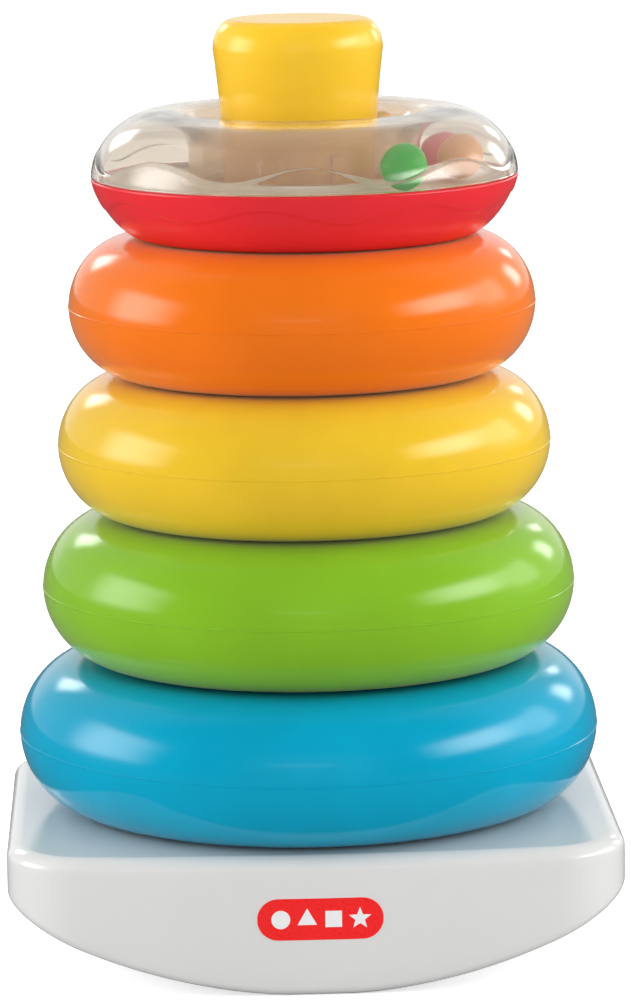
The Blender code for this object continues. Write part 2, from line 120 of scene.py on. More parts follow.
# Rattle ring. Heights are above the seam, and a wave's phase is its crest's place from the front.
WAVES = 8
TROUGH_BULGE = 9.8 * MM
TROUGH_POWER = 1.5
TROUGH_WALL = 2.0 * MM
TROUGH_RIM_R = 0.5 * MM
TROUGH_LEDGE_Z = -3.3 * MM
TROUGH_WAVE = {"mean": -4.9 * MM, "height": 1.6 * MM, "phase": math.radians(-13)}
TROUGH_WAVE_DEPTH = 0.28 * MM
TROUGH_WAVE_FADE = 0.30 * MM
COVER_BULGE = 15.8 * MM
COVER_POWER = 1.94
COVER_WALL = 1.5 * MM
COVER_DROP_SHARE = 0.55
COVER_WAVE = {"mean": 3.9 * MM, "height": 1.8 * MM, "phase": math.radians(-1)}
COVER_WAVE_DEPTH = 0.26 * MM
COVER_WAVE_FADE = 0.60 * MM
COLLAR_R = HOLE_R + 0.2 * MM
HUB_R = HOLE_R + 3.2 * MM
LIP_Z = -1.8 * MM
RIB_TURN = math.radians(13)
RIB_HALF_WIDTH = 1.5 * MM
RIB_FADE = 0.5 * MM
RIB_HEIGHT = 1.0 * MM
OVAL_TURN = math.radians(-18)
OVAL_HALF_WIDTH = 2.4 * MM
OVAL_HALF_HEIGHT = 2.9 * MM
OVAL_Z = 3.4 * MM
OVAL_HEIGHT = 0.8 * MM
TRACK_CORNER_R = 1.2 * MM
TRACK_SAG = 0.35 * MM
BEAD_SEAM_HEIGHT = 0.05 * MM
BEAD_SEAM_HALF_WIDTH = 0.35 * MM

# Nameplate: how far it and its marks stand proud of the front and reach into it, and the marks' corners, reach
# and turn in degrees. They are a circle, a triangle, a square and a star.
LABEL_PROUD = 0.10 * MM
LABEL_BURIED = 0.20 * MM
MARK_PROUD = 0.13 * MM
MARK_FOOT = 0.05 * MM
MARK_PITCH = 5.6 * MM
MARKS = ((32, 2.0 * MM, 0), (3, 2.4 * MM, 90), (4, 2.5 * MM, 45), (10, 2.5 * MM, 90))
STAR_CORNERS = 10
STAR_WAIST = 0.42

# Surroundings, each as the direction's Z or Y where a step starts and ends and the strengths there: over Z the
# glow on matt surfaces, and over Y the two steps that gloss mirrors and the one seen through clear plastic.
GLOW = (-0.2, 0.9, 0.66, 0.74)
MIRROR = ((-0.2, 0.3, 0.03, 0.62), (0.70, 0.94, 0.03, 1.0))
THROUGH = (-0.2, 0.6, 0.80, 1.0)

# Floor: how much it is lifted for the camera, and how light it is to matt and to glossy surfaces.
FLOOR_R = 12
FLOOR_GAP = 0.05 * MM
FLOOR_LIFT = 0.60
FLOOR_BOUNCE = 0.64
FLOOR_MIRROR = 0.12

# Lamps: azimuth (0 is the camera's side and 90 its right) and elevation in degrees, distance, the half angles
# that the lamp covers, radiance, the kind of ray that sees it, and the share of each half side that stays full.
LAMPS = {
    "front_fill": (0, 12, 1.8, (25, 18), 1.47, "diffuse", (1.0, 1.0)),
    "left_fill": (-92, 15, 1.6, (20, 20), 3.5, "diffuse", (1.0, 1.0)),
    "right_fill": (90, 15, 1.6, (20, 20), 3.7, "diffuse", (1.0, 1.0)),
    "left_box": (-88, 16, 1.2, (27, 18), 6.0, "glossy", (0.15, 0.5)),
    "left_far_box": (-153, 22, 1.2, (8, 8), 5.5, "glossy", (0.3, 0.3)),
    "right_box": (73, 22, 1.2, (30, 13), 8.5, "glossy", (0.1, 0.3)),
    "right_box_end": (107, 18, 1.2, (14, 14), 2.4, "glossy", (0.4, 0.4)),
    "right_far_box": (137, 15, 1.2, (7, 9), 5.0, "glossy", (0.3, 0.3)),
    "right_back_box": (155, 16, 1.2, (4, 4), 4.5, "glossy", (0.3, 0.3)),
    "camera_strip": (-4, 15, 1.2, (15, 2), 1.5, "glossy", (0.5, 0.5)),
}
LAMP_TARGET = Vector((0, 0, 0.1))

RING_COLOURS = {
    "ring_blue": (0.000, 0.340, 0.535),
    "ring_green": (0.215, 0.470, 0.018),
    "ring_yellow": (0.800, 0.510, 0.024),
    "ring_orange": (0.855, 0.172, 0.006),
}
RING_SHEEN = {"ring_blue": 0.0, "ring_green": 0.20, "ring_yellow": 0.20, "ring_orange": 0.20}
BEAD_COLOURS = {
    "bead_green": (0.000, 0.560, 0.040),
    "bead_orange": (0.840, 0.430, 0.190),
    "bead_pink": (0.780, 0.200, 0.260),
    "bead_yellow": (0.800, 0.520, 0.040),
    "bead_red": (0.680, 0.020, 0.025),
    "bead_blue": (0.010, 0.270, 0.620),
}


# ---------------------------------------------------------------- mesh helpers


def smooth(mesh):
    """Smooth shading, with the edges that are meant to be sharp kept so."""
    mesh.shade_smooth()
    mesh.set_sharp_from_angle(angle=SHARP_ANGLE)


def add_piece(name, shape, material, body, replaced, location=(0, 0, 0)):
    """Links a finished bmesh as a smooth piece that rides on a body and stands for CAD nodes."""
    bmesh.ops.recalc_face_normals(shape, faces=shape.faces)
    mesh = bpy.data.meshes.new(name)
    shape.to_mesh(mesh)
    shape.free()
    mesh.materials.append(material)
    smooth(mesh)
    piece = bpy.data.objects.new(name, mesh)
    bpy.context.scene.collection.objects.link(piece)
    piece.location = location
    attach(piece, body)
    if replaced:
        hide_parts(*replaced)
    return piece


def skin(shape, rows, wrap):
    """Faces between rows of as many vertices, each closed on itself. A corner that a face has twice counts once."""
    following = rows[1:] + rows[:1] if wrap else rows[1:]
    for low, high in zip(rows, following):
        for k, _ in enumerate(low):
            after = (k + 1) % len(low)
            shape.faces.new(dict.fromkeys((low[k], low[after], high[after], high[k])))


def revolve(shape, profile, steps, closed=True, bend=None):
    """Turns (radius, z) points about Z. bend(radius, z, angle) may move each point in its own section."""
    rows = []
    for r, z in profile:
        if r == 0:
            rows.append([shape.verts.new((0, 0, z))] * steps)
            continue
        row = []
        for step in range(steps):
            angle = FULL_TURN * step / steps
            near, tall = bend(r, z, angle) if bend else (r, z)
            row.append(shape.verts.new((near * math.cos(angle), near * math.sin(angle), tall)))
        rows.append(row)
    skin(shape, rows, closed)


def loft(shape, loops, wrap=False):
    """A solid through equal-length loops of points; its ends are capped unless it wraps round."""
    rows = [[shape.verts.new(point) for point in loop] for loop in loops]
    skin(shape, rows, wrap)
    if not wrap:
        shape.faces.new(reversed(rows[0]))
        shape.faces.new(rows[-1])


def superellipse(width, height, power, angle):
    """The point of a superellipse's first quarter at a parameter angle."""
    x = width * max(math.cos(angle), 0) ** (2 / power)
    return x, height * math.sin(angle) ** (2 / power)


def quarter(width, height, power, steps):
    """Points of a superellipse's first quarter, from the side to the top."""
    return [superellipse(width, height, power, QUARTER_TURN * k / steps) for k in range(steps + 1)]


def arc(steps, start=0):
    """The (cosine, sine) pairs of a quarter turn's angles, from step start to its end."""
    angles = [QUARTER_TURN * k / steps for k in range(start, steps + 1)]
    return [(math.cos(angle), math.sin(angle)) for angle in angles]


def smooth_step(x):
    """0 below 0, 1 above 1, and a smooth rise between."""
    x = min(max(x, 0.0), 1.0)
    return x * x * (3 - 2 * x)


# ---------------------------------------------------------------- materials


class Nodes:
    """Short names for adding and linking the nodes of a material, a world or a lamp."""

    def __init__(self, owner):
        owner.use_nodes = True
        self.tree = owner.node_tree

    def feed(self, socket, value):
        """Links another socket's value to a socket, or sets a constant on it."""
        if isinstance(value, bpy.types.NodeSocket):
            self.tree.links.new(value, socket)
        else:
            socket.default_value = value

    def feed_all(self, node, inputs):
        for key, value in inputs.items():
            self.feed(node.inputs[key], value)

    def add(self, kind, inputs=None, **settings):
        """Adds a shader node with its settings, and feeds its inputs."""
        node = self.tree.nodes.new("ShaderNode" + kind)
        for key, value in settings.items():
            setattr(node, key, value)
        self.feed_all(node, inputs or {})
        return node

    def math(self, operation, *values):
        """One Math node; each value is a socket or a number."""
        return self.add("Math", dict(enumerate(values)), operation=operation).outputs["Value"]

    def ramp(self, value, low, high, out_low=0.0, out_high=1.0, slope="LINEAR"):
        """Maps a value from low..high to out_low..out_high, clamped."""
        inputs = {"Value": value, "From Min": low, "From Max": high, "To Min": out_low, "To Max": out_high}
        return self.add("MapRange", inputs, interpolation_type=slope).outputs["Result"]

    def smooth_ramp(self, value, low, high, out_low, out_high):
        """A ramp that starts and ends gently."""
        return self.ramp(value, low, high, out_low, out_high, slope="SMOOTHSTEP")

    def mix(self, factor, a, b):
        """A mix of two linear colours."""
        inputs = {"Factor": factor, "A": (*a, 1), "B": (*b, 1)}
        return self.add("Mix", inputs, data_type="RGBA").outputs["Result"]

    def either(self, factor, a, b):
        """A mix of two shaders."""
        inputs = {0: factor, 1: a.outputs["BSDF"], 2: b.outputs["BSDF"]}
        return self.add("MixShader", inputs).outputs["Shader"]


class MaterialNodes(Nodes):
    """A new material's nodes, with the textures that its finishes are made of."""

    def __init__(self, name):
        self.material = bpy.data.materials.new(name)
        super().__init__(self.material)
        self.shader = self.tree.nodes["Principled BSDF"]
        self.place = self.add("TexCoord").outputs["Object"]

    def noise(self, scale, detail=2.0, roughness=0.5, stretch=(1, 1, 1)):
        """Noise over the piece's own coordinates, with a scale in features per metre."""
        place = self.add("Mapping", {"Vector": self.place, "Scale": stretch}).outputs["Vector"]
        inputs = {"Vector": place, "Scale": scale, "Detail": detail, "Roughness": roughness}
        return self.add("TexNoise", inputs).outputs["Fac"]

    def bump(self, height, distance, normal=None):
        """A Bump node over a height socket, in metres of relief."""
        inputs = {"Height": height, "Distance": distance}
        if normal is not None:
            inputs["Normal"] = normal
        return self.add("Bump", inputs).outputs["Normal"]

    def show(self, surface):
        """Makes a shader the material's surface."""
        self.feed(self.tree.nodes["Material Output"].inputs["Surface"], surface)


def moulded(name, colour, roughness, wave=0.10 * MM, variation=0.05, ior=1.40, sheen=0.0):
    """A glossy moulded plastic: faint colour swirls, slow surface waves, fine grain and hairline scuffs."""
    nodes = MaterialNodes(name)
    darker = tuple(c * (1 - variation) for c in colour)
    lighter = tuple(min(1, c * (1 + variation)) for c in colour)
    swirl = nodes.ramp(nodes.noise(scale=28, detail=3, roughness=0.55), low=0.35, high=0.65)
    grain = nodes.noise(scale=1400, detail=2, roughness=0.6)
    scuff = nodes.ramp(nodes.noise(scale=240, detail=4, roughness=0.7, stretch=(1, 1, 9)), low=0.62, high=0.70)
    grained = nodes.math("MULTIPLY_ADD", grain, 0.06, roughness - 0.03)
    waves = nodes.bump(nodes.noise(scale=55, detail=1.5, roughness=0.4), wave)
    finish = {
        "Base Color": nodes.mix(swirl, darker, lighter),
        "Roughness": nodes.math("MULTIPLY_ADD", scuff, 0.05, grained),
        "Normal": nodes.bump(grain, 0.002 * MM, waves),
        "IOR": ior,
        "Sheen Weight": sheen,
        "Sheen Roughness": 0.40,
        "Sheen Tint": (1.0, 0.93, 0.62, 1),
    }
    nodes.feed_all(nodes.shader, finish)
    return nodes.material


def clear_plastic(name, painted_reflection_tint, clarity, roughness, shadow):
    """Clear styrene: bends light, keeps a share of milky haze, lets lamps through to what it covers, and carries a
    beige tint that is a painted reflection of the yellow post and the grey room.
    """
    nodes = MaterialNodes(name)
    duller = tuple(0.94 * c for c in painted_reflection_tint)
    cloud = nodes.ramp(nodes.noise(scale=45, detail=3, roughness=0.55), low=0.3, high=0.7)
    grain = nodes.noise(scale=900, detail=2, roughness=0.6)
    finish = {
        # The beige base colour is a painted reflection of the yellow post and the grey room, with faint random
        # clouding.
        "Base Color": nodes.mix(cloud, duller, painted_reflection_tint),
        "Roughness": nodes.ramp(grain, low=0.3, high=0.7, out_low=roughness, out_high=roughness + 0.04),
        "Normal": nodes.bump(nodes.noise(scale=70, detail=1.5, roughness=0.4), 0.05 * MM),
        "IOR": 1.49,
        "Transmission Weight": clarity,
    }
    nodes.feed_all(nodes.shader, finish)
    see_through = nodes.add("BsdfTransparent", {"Color": (*shadow, 1)})
    path = nodes.add("LightPath").outputs
    nodes.show(nodes.either(path["Is Shadow Ray"], nodes.shader, see_through))
    return nodes.material


def zinc(name):
    """Zinc-plated steel with a fine turned grain."""
    nodes = MaterialNodes(name)
    cloud = nodes.ramp(nodes.noise(scale=600, detail=3, roughness=0.6), low=0.3, high=0.7)
    finish = {
        "Base Color": nodes.mix(cloud, (0.46, 0.47, 0.48), (0.62, 0.62, 0.60)),
        "Roughness": nodes.ramp(nodes.noise(scale=2500), low=0.3, high=0.7, out_low=0.22, out_high=0.38),
        "Metallic": 1.0,
    }
    nodes.feed_all(nodes.shader, finish)
    return nodes.material


# ---------------------------------------------------------------- base


base_low, base_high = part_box("base_shell")
BASE_HALF_WIDTH = base_high.x
BASE_HALF_DEPTH = base_high.y - BASE_BOW
DECK_Z = base_high.z


def rocker_z(x):
    """Height of the curved underside at x: flat under the keel, then an arc about the Y axis."""
    reach = max(abs(x), KEEL_HALF_WIDTH)
    keel = math.sqrt(ROCKER_R**2 - KEEL_HALF_WIDTH**2)
    return keel - math.sqrt(ROCKER_R**2 - reach**2)


def bow_radius():
    """Radius of the bowed front and back that is tangent to the corner arcs."""
    corner_x = BASE_HALF_WIDTH - BASE_CORNER_R
    reach = BASE_CORNER_R + BASE_BOW
    return (corner_x**2 + reach**2 - BASE_CORNER_R**2) / (2 * BASE_BOW)


def front_y(x):
    """The front face's y at x."""
    radius = bow_radius()
    return radius - BASE_HALF_DEPTH - BASE_BOW - math.sqrt(radius**2 - x**2)


def base_outline(inset):
    """Anticlockwise plan of the base, inset from its outer surface."""
    corner_x = BASE_HALF_WIDTH - BASE_CORNER_R
    corner_y = BASE_HALF_DEPTH - BASE_CORNER_R
    bow_r = bow_radius()
    bow_centre = bow_r - BASE_HALF_DEPTH - BASE_BOW
    join = math.atan2(corner_x, bow_centre + corner_y)
    points = []
    for k in range(CORNER_STEPS + 1):
        angle = (QUARTER_TURN - join) * k / CORNER_STEPS
        r = BASE_CORNER_R - inset
        points.append((corner_x + r * math.cos(angle), corner_y + r * math.sin(angle)))
    for k in range(1, BOW_STEPS):
        angle = join * (1 - k / BOW_STEPS)
        r = bow_r - inset
        points.append((r * math.sin(angle), r * math.cos(angle) - bow_centre))
    top = (0, bow_r - inset - bow_centre)
    back = points + [top] + [(-x, y) for x, y in reversed(points)]
    return back + [(-x, -y) for x, y in back]


def build_base(material, roll_steps=8, wall_steps=7, rim_steps=6):
    """The white top and walls: a flat deck, a creased rolled edge and a rounded rocker rim."""
    outline = base_outline(0)
    post_hole_r = POST_FOOT_R + POST_HOLE_GAP
    rays = [math.atan2(y, x) for x, y in outline]
    hole = [(post_hole_r * math.cos(a), post_hole_r * math.sin(a)) for a in rays]
    loops = [[(x, y, DECK_Z) for x, y in hole]]
    loops.append([(x, y, DECK_Z) for x, y in base_outline(DECK_ROLL_WIDTH + DECK_RIM)])
    for k in range(roll_steps + 1):
        angle = DECK_CREASE + (QUARTER_TURN - DECK_CREASE) * k / roll_steps
        inset = DECK_ROLL_WIDTH * (1 - math.sin(angle)) / (1 - math.sin(DECK_CREASE))
        drop = DECK_EDGE_R * (math.cos(DECK_CREASE) - math.cos(angle)) / math.cos(DECK_CREASE)
        loops.append([(x, y, DECK_Z - drop) for x, y in base_outline(inset)])
    wall_top = DECK_Z - DECK_EDGE_R
    wall_feet = [rocker_z(x) + BOTTOM_EDGE_R for x, y in outline]
    for k in range(1, wall_steps):
        share = k / wall_steps
        loops.append([(x, y, wall_top + (foot - wall_top) * share) for (x, y), foot in zip(outline, wall_feet)])
    for k in range(rim_steps + 1):
        angle = QUARTER_TURN * (1 - k / rim_steps)
        inset = BOTTOM_EDGE_R * (1 - math.sin(angle))
        rise = BOTTOM_EDGE_R * (1 - math.cos(angle))
        loops.append([(x, y, rocker_z(x) + rise) for x, y in base_outline(inset)])
    inner = base_outline(BASE_WALL)
    ceiling_z = DECK_Z - BASE_WALL
    loops.append([(x, y, rocker_z(x)) for x, y in inner])
    loops.append([(x, y, ceiling_z) for x, y in inner])
    loops.append([(x, y, ceiling_z) for x, y in hole])
    shape = bmesh.new()
    loft(shape, loops, wrap=True)
    add_piece("base_moulding", shape, material, "base", ["base_shell"])


def build_post(material):
    """The yellow post: a flared head with a flat crown, a slender waist and a flanged foot."""
    low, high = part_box("post")
    flange_r = high.x
    flange_top_z = low.z + POST_FLANGE_THICKNESS

    def radius(z):
        if z < POST_WAIST_Z:
            share = (POST_WAIST_Z - z) / (POST_WAIST_Z - low.z)
            return POST_WAIST_R + (POST_FOOT_R - POST_WAIST_R) * share
        share = (z - POST_WAIST_Z) / (POST_HEAD_Z - POST_WAIST_Z)
        return POST_WAIST_R + (POST_HEAD_R - POST_WAIST_R) * share**2

    crown = quarter(POST_HEAD_R - POST_CROWN_R, high.z - POST_HEAD_Z, 2.0, 16)
    profile = [(0, high.z)]
    profile += [(POST_CROWN_R * k / 4, high.z) for k in range(1, 4)]
    profile += [(POST_CROWN_R + x, POST_HEAD_Z + z) for x, z in reversed(crown)]
    heights = [POST_HEAD_Z + (flange_top_z - POST_HEAD_Z) * k / POST_STEPS for k in range(1, POST_STEPS + 1)]
    profile += [(radius(z), z) for z in heights]
    profile += [(flange_r, flange_top_z), (flange_r, low.z), (POST_FOOT_R - POST_WALL, low.z)]
    profile += [(radius(z) - POST_WALL, z) for z in reversed(heights[::4])]
    profile += [(POST_CROWN_R, high.z - POST_WALL), (0, high.z - POST_WALL)]
    shape = bmesh.new()
    revolve(shape, profile, TURNS, closed=False)
    add_piece("post_moulding", shape, material, "base", ["post"])


def build_pan(material):
    """The smooth curved pan under the base, with four round screw pockets."""
    outline = base_outline(BASE_WALL + PAN_MARGIN)
    reach = {round(x, 7): y for x, y in outline if x > 0 and y > 0}
    rights = sorted(reach)
    columns = [(-x, reach[x]) for x in reversed(rights)] + [(x, reach[x]) for x in rights]
    loops = []
    for x, y in columns:
        bottom = rocker_z(x)
        top = bottom + PAN_THICKNESS
        loops.append([(x, -y, bottom), (x, y, bottom), (x, y, top), (x, -y, top)])
    shape = bmesh.new()
    loft(shape, loops)
    pan = add_piece("bottom_pan", shape, material, "base", ["base_bottom"])

    pockets = bmesh.new()
    pocket = {"cap_ends": True, "segments": 48, "radius1": POCKET_R, "radius2": POCKET_R, "depth": POCKET_DEPTH}
    for number in range(1, 5):
        screw_low, screw_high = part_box(f"base_screw_{number}")
        place = (screw_low + screw_high) / 2
        place.z = screw_high.z - POCKET_DROP - POCKET_DEPTH / 2
        bmesh.ops.create_cone(pockets, matrix=Matrix.Translation(place), **pocket)
    cutter_mesh = bpy.data.meshes.new("pockets")
    pockets.to_mesh(cutter_mesh)
    pockets.free()
    cutter = bpy.data.objects.new("pockets", cutter_mesh)
    bpy.context.scene.collection.objects.link(cutter)
    cut = pan.modifiers.new("pockets", "BOOLEAN")
    cut.object = cutter
    cut.operation = "DIFFERENCE"
    finished = pan.evaluated_get(bpy.context.evaluated_depsgraph_get())
    whole = pan.data
    pan.data = bpy.data.meshes.new_from_object(finished)
    pan.modifiers.clear()
    bpy.data.objects.remove(cutter)
    bpy.data.meshes.remove(cutter_mesh)
    bpy.data.meshes.remove(whole)
    pan.data.name = "bottom_pan"
    smooth(pan.data)


# ---------------------------------------------------------------- rings


def ridge(z):
    """Height of the fine parting ridge at a distance z from the parting plane."""
    return RIDGE_HEIGHT * smooth_step((RIDGE_FOOT - abs(z)) / (RIDGE_FOOT - RIDGE_HALF_WIDTH))


def build_ring(node, material):
    """A blown ring: a full round bulge, a flat seat above and below, and a ridge where the mould parted."""
    low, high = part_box(node)
    outer_r = (high.x - low.x) / 2 - RIDGE_HEIGHT
    half = (high.z - low.z) / 2
    bulge = RING_BULGE_SHARE * half
    shoulder_r = outer_r - bulge
    turn_r = HOLE_R + RING_HOLE_ROUND
    ridge_zs = [RIDGE_STEP * k for k in range(1, 8)]
    angles = [QUARTER_TURN * k / 26 for k in range(27)]
    angles += [math.asin((z / half) ** (RING_BULGE_POWER / 2)) for z in ridge_zs]
    upper = [superellipse(bulge, half, RING_BULGE_POWER, a) for a in sorted(angles)]
    outside = [(shoulder_r + x + ridge(z), z) for x, z in upper]
    land = [(shoulder_r + (turn_r - shoulder_r) * k / 4, half) for k in range(1, 4)]
    hole = quarter(RING_HOLE_ROUND, RING_HOLE_ROUND, 2.0, 8)
    turn = [(turn_r - x, half - RING_HOLE_ROUND + z) for x, z in reversed(hole)]
    wall = [(HOLE_R - ridge(z), z) for z in reversed([0.0] + ridge_zs)]
    top_half = outside + land + turn + wall
    bottom_half = [(r, -z) for r, z in reversed(top_half[1:-1])]
    shape = bmesh.new()
    revolve(shape, top_half + bottom_half, TURNS)
    add_piece(node + "_blown", shape, material, node, [node], (low + high) / 2)


# ---------------------------------------------------------------- rattle ring


trough_low, trough_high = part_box("rattle_lower_shell")
cover_low, cover_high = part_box("rattle_cover")
SEAM_Z = (trough_high.z + cover_low.z) / 2
SEAM_GAP = cover_low.z - trough_high.z
RATTLE_PLACE = ((trough_low.x + trough_high.x) / 2, 0, SEAM_Z)


def wave_z(angle, mean, height, phase):
    """Height above the seam of a wavy line round the ring."""
    turn = angle + QUARTER_TURN - phase
    return mean + height * math.cos(WAVES * turn)


def build_trough(material):
    """The red lower shell, with a wavy band that stands proud below the seam."""
    outer_r = (trough_high.x - trough_low.x) / 2
    height = SEAM_Z - trough_low.z
    shoulder_r = outer_r - TROUGH_BULGE
    inner_r = outer_r - TROUGH_WALL
    wall_r = HOLE_R + TROUGH_WALL
    foot_r = HOLE_R + 3 * MM
    foot_cut = 0.9 * MM
    hub_out_r = wall_r + 0.9 * MM
    rim_clear = 1.0 * MM
    skin_top = 4.0 * MM

    def bend(r, z, angle):
        if r < shoulder_r or z > -rim_clear and r < outer_r - rim_clear:
            return r, z
        line = wave_z(angle, **TROUGH_WAVE)
        below = smooth_step((line - z) / TROUGH_WAVE_FADE + 0.5)
        return r - TROUGH_WAVE_DEPTH * below, z

    outer = quarter(TROUGH_BULGE, height, TROUGH_POWER, 130)
    inner = quarter(TROUGH_BULGE - TROUGH_WALL, height - TROUGH_WALL, TROUGH_POWER, 12)
    # The rounded lower edge of the hole, the outer skin up to the rim, and the rim.
    profile = [(HOLE_R, -height + 3 * MM), (HOLE_R + foot_cut, -height + foot_cut), (foot_r, -height)]
    profile += [(shoulder_r + x, -z) for x, z in reversed(outer) if z > TROUGH_RIM_R + 0.1 * MM]
    for cosine, sine in arc(6):
        profile.append((outer_r - TROUGH_RIM_R * (1 - cosine), -SEAM_GAP / 2 - TROUGH_RIM_R * (1 - sine)))
    # The ledge under the bead track, the inner skin, and the hub's wall up to its lip.
    profile.append((inner_r, -SEAM_GAP / 2))
    profile += [(inner_r - 0.3 * MM, TROUGH_LEDGE_Z), (inner_r - 1.2 * MM, TROUGH_LEDGE_Z)]
    profile += [(shoulder_r + x, -z) for x, z in inner if z > skin_top]
    profile += [(wall_r + 2.9 * MM, -height + TROUGH_WALL), (hub_out_r, -height + 4 * MM)]
    profile += [(hub_out_r, TROUGH_LEDGE_Z), (wall_r, TROUGH_LEDGE_Z), (wall_r, LIP_Z), (HOLE_R, LIP_Z)]
    shape = bmesh.new()
    revolve(shape, profile, TROUGH_TURNS, bend=bend)
    nodes = ["rattle_lower_shell"]
    add_piece("rattle_trough", shape, material, "rattle_ring", nodes, RATTLE_PLACE)


def hub_relief(angle, z):
    """What stands proud of the clear hub at a place: an upright rib and an oval ring, both near the front."""
    turn = math.remainder(angle + QUARTER_TURN, FULL_TURN)
    from_rib = (turn - RIB_TURN) * HUB_R
    from_oval = (turn - OVAL_TURN) * HUB_R
    rib = smooth_step((RIB_HALF_WIDTH - abs(from_rib)) / RIB_FADE)
    oval = math.hypot(from_oval / OVAL_HALF_WIDTH, (z - OVAL_Z) / OVAL_HALF_HEIGHT)
    ring = smooth_step(1 - abs(oval - 0.9) / 0.3)
    return max(RIB_HEIGHT * rib, OVAL_HEIGHT * ring)


def build_cover(polished_plastic, rubbed_painted_reflection_plastic):
    """The clear cover: a dome over a wavy band, dipping into a collar that the post has rubbed hazy and that
    carries a darker, browner painted reflection of the post and the room.
    """
    outer_r = (cover_high.x - cover_low.x) / 2
    height = cover_high.z - SEAM_Z
    crest_r = outer_r - COVER_BULGE
    dip = crest_r - COLLAR_R
    drop = COVER_DROP_SHARE * height
    hub_top_z = height - drop
    foot_z = SEAM_GAP / 2
    wave_reach = 6 * MM
    outer_skin = 0.985

    def bend(r, z, angle):
        if r == HUB_R and z < hub_top_z:
            return r + hub_relief(angle, z), z
        reach = max(r - crest_r, 0) / COVER_BULGE
        if r < crest_r or reach**COVER_POWER + (z / height) ** COVER_POWER < outer_skin:
            return r, z
        line = wave_z(angle, **COVER_WAVE)
        above = smooth_step((z - line) / COVER_WAVE_FADE + 0.5)
        return r - COVER_WAVE_DEPTH * above * smooth_step((r - crest_r) / wave_reach), z

    # The outer skin from the seam over the crest and down the collar, then the hub and the inner skin.
    profile = [(crest_r + x, max(z, foot_z)) for x, z in quarter(COVER_BULGE, height, COVER_POWER, 110)]
    roll = quarter(dip, drop, 2.0, 20)
    profile += [(crest_r - x, height - drop + z) for x, z in reversed(roll[:-1])]
    profile.append((COLLAR_R, foot_z))
    profile += [(HUB_R, foot_z + (hub_top_z - foot_z) * k / 24) for k in range(24)]
    roll = quarter(crest_r - HUB_R, drop - COVER_WALL, 2.0, 14)
    profile += [(crest_r - x, hub_top_z + z) for x, z in roll[:-1]]
    inside = quarter(COVER_BULGE - COVER_WALL - COVER_WAVE_DEPTH, height - COVER_WALL, COVER_POWER, 40)
    profile += [(crest_r + x, max(z, foot_z)) for x, z in reversed(inside)]
    shape = bmesh.new()
    revolve(shape, profile, COVER_TURNS, bend=bend)
    # Faces round the collar take the second plastic: rubbed hazier, with a darker, browner tint that is painted
    # reflection of the post and the room.
    for face in shape.faces:
        if math.hypot(*face.calc_center_median().xy) < HUB_R + 1.2 * MM:
            face.material_index = 1
    nodes = ["rattle_cover"]
    dome = add_piece(
        "rattle_clear_dome", shape, polished_plastic, "rattle_ring", nodes, RATTLE_PLACE
    )
    dome.data.materials.append(rubbed_painted_reflection_plastic)


def build_rattle_floor(material):
    """The pale floor: a shallow round track for the beads, with a rim that hides the red walls."""
    low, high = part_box("rattle_floor")
    inner_r = HOLE_R + TROUGH_WALL + 0.3 * MM
    outer_r = (high.x - low.x) / 2
    rim_r = outer_r - 0.6 * MM
    lip_r = HUB_R + 0.9 * MM
    lip_z = LIP_Z + 0.1 * MM
    top = high.z - SEAM_Z
    bottom = low.z - SEAM_Z
    rise = -SEAM_GAP / 2 - top
    profile = [(inner_r, bottom), (outer_r, bottom), (outer_r, top + rise), (rim_r, top + rise)]
    for cosine, sine in arc(6, start=1):
        profile.append((rim_r - TRACK_CORNER_R * (1 - cosine), top + rise * (1 - sine)))
    start_r = rim_r - TRACK_CORNER_R
    for k in range(1, 24):
        share = k / 24
        sag = TRACK_SAG * math.sin(math.pi * share) ** 2
        profile.append((start_r + (lip_r + TRACK_CORNER_R - start_r) * share, top - sag))
    for cosine, sine in arc(6):
        profile.append((lip_r + TRACK_CORNER_R * (1 - sine), top + rise * (1 - cosine)))
    profile += [(HOLE_R, -SEAM_GAP / 2), (HOLE_R, lip_z), (inner_r, lip_z)]
    shape = bmesh.new()
    revolve(shape, profile, TURNS)
    nodes = ["rattle_floor"]
    add_piece("rattle_track", shape, material, "rattle_ring", nodes, RATTLE_PLACE)


def build_bead(node, tilt, material, steps=48):
    """A loose ball with the fine seam of its two-part mould."""
    low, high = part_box(node)
    radius = (high.z - low.z) / 2
    profile = [(0, radius)]
    for k in range(1, steps):
        angle = math.pi * k / steps
        z = radius * math.cos(angle)
        proud = BEAD_SEAM_HEIGHT * smooth_step(1 - abs(z) / BEAD_SEAM_HALF_WIDTH)
        profile.append((radius * math.sin(angle) - BEAD_SEAM_HEIGHT + proud, z))
    profile.append((0, -radius))
    shape = bmesh.new()
    revolve(shape, profile, BEAD_TURNS, closed=False)
    bmesh.ops.rotate(shape, verts=shape.verts, matrix=Matrix.Rotation(tilt, 3, Vector((1, 0.6, 0.2))))
    add_piece(node + "_ball", shape, material, node, [node], (low + high) / 2)


# ---------------------------------------------------------------- nameplate


